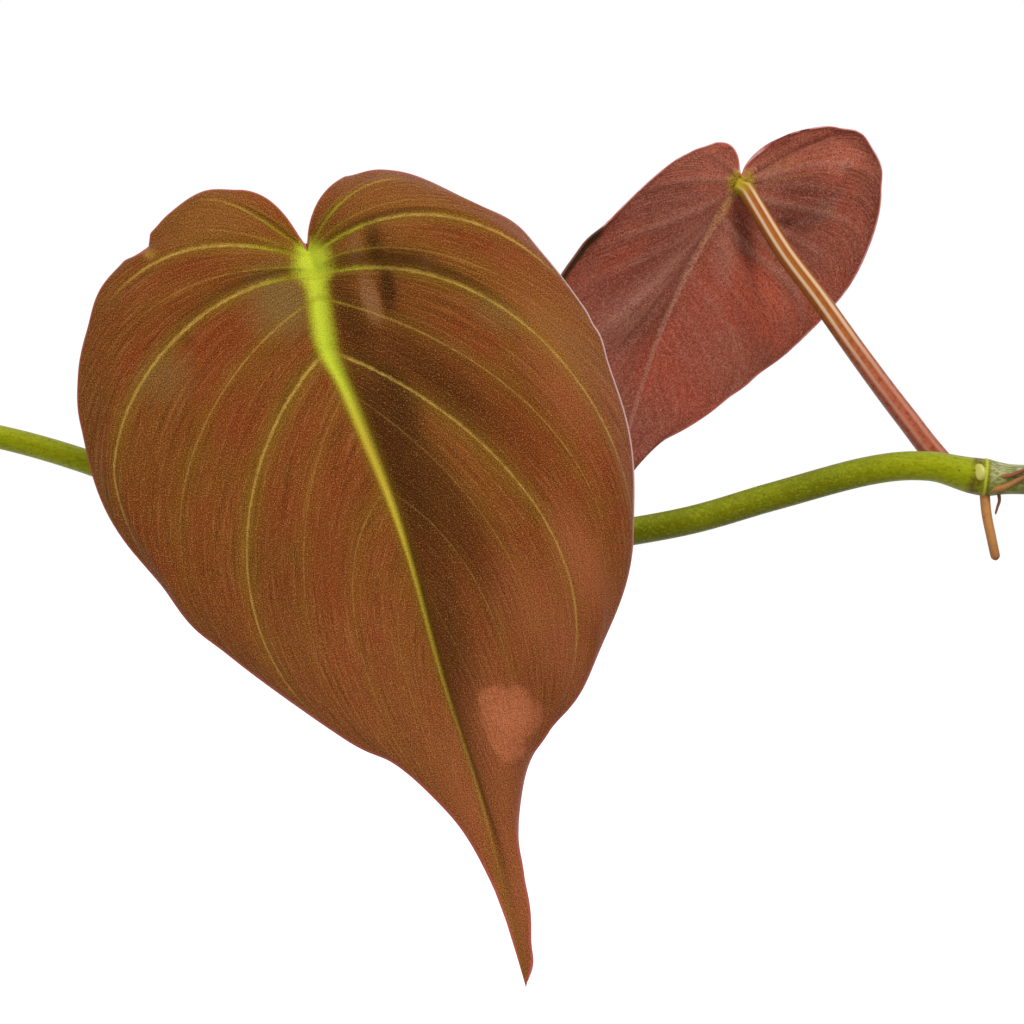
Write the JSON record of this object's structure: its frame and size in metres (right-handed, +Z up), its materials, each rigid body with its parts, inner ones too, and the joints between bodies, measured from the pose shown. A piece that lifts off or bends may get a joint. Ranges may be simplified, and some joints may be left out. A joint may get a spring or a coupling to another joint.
{
  "type": "potted velvet leaf philodendron",
  "caption": "Trailing aroid house plant in a plain terracotta pot: heart-shaped velvety bronze leaves with drip tips on green vines that arch and hang over the rim.",
  "frame": {"origin": "centre of the pot's flat underside, on the surface it stands on", "axes": "+Z up; +X to the right and +Y away in the picture's view, so the main vine reaches out along -X and the front leaf's upper face looks along -Y"},
  "size_m": [0.3518, 0.2057, 0.1842],
  "materials": {
    "pot": "matte",
    "soil": "matte",
    "stem": "satin",
    "leaf": "matte"
  },
  "bodies": {
    "root": {"pot": "pot", "soil": "soil", "main_stem": "stem", "vine_1_stem": "stem", "vine_2_stem": "stem", "vine_3_stem": "stem", "vine_4_stem": "stem", "vine_5_stem": "stem", "vine_6_stem": "stem", "front_leaf": "leaf", "turned_leaf": "leaf", "upright_leaf": "leaf", "young_leaf": "leaf", "vine_1_leaf_1": "leaf", "vine_1_leaf_2": "leaf", "vine_1_leaf_3": "leaf", "vine_1_leaf_4": "leaf", "vine_1_leaf_5": "leaf", "vine_2_leaf_1": "leaf", "vine_2_leaf_2": "leaf", "vine_2_leaf_3": "leaf", "vine_2_leaf_4": "leaf", "vine_3_leaf_1": "leaf", "vine_3_leaf_2": "leaf", "vine_3_leaf_3": "leaf", "vine_3_leaf_4": "leaf", "vine_3_leaf_5": "leaf", "vine_4_leaf_1": "leaf", "vine_4_leaf_2": "leaf", "vine_4_leaf_3": "leaf", "vine_4_leaf_4": "leaf", "vine_5_leaf_1": "leaf", "vine_5_leaf_2": "leaf", "vine_5_leaf_3": "leaf", "vine_5_leaf_4": "leaf", "vine_5_leaf_5": "leaf", "vine_6_leaf_1": "leaf", "vine_6_leaf_2": "leaf", "vine_6_leaf_3": "leaf"}
  },
  "joints": []
}
